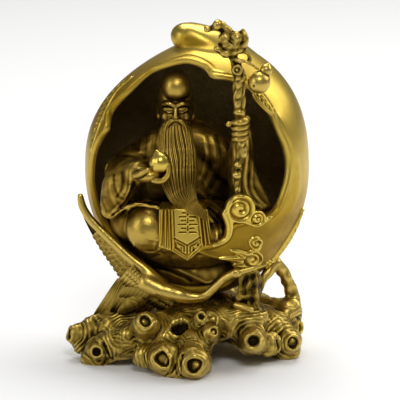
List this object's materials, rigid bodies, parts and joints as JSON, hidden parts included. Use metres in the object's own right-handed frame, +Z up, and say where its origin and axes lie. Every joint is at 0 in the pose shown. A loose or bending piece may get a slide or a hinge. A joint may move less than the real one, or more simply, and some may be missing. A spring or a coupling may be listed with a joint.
{
  "type": "shou lao figure",
  "caption": "Brass table ornament: an old sage with a knotted staff sits in a hollow peach on a stand of gnarled roots, with a crane in front.",
  "frame": {"origin": "on the ground under the middle of the ornament's box", "axes": "+Z up along the height, -Y to the front where the peach is open, +X to the viewer's right"},
  "size_m": [0.1518, 0.1476, 0.2197],
  "materials": {
    "polished_brass": "satin polished, darker in the recesses",
    "antique_brass": "brown patina with rubbed bright edges",
    "root_brass": "antique patina with rubbed bright ridges"
  },
  "bodies": {
    "root": {"peach_shell": "polished_brass", "sage_figure": "antique_brass", "knotted_staff": "antique_brass", "crane": "root_brass", "root_stand": "root_brass"}
  },
  "joints": []
}
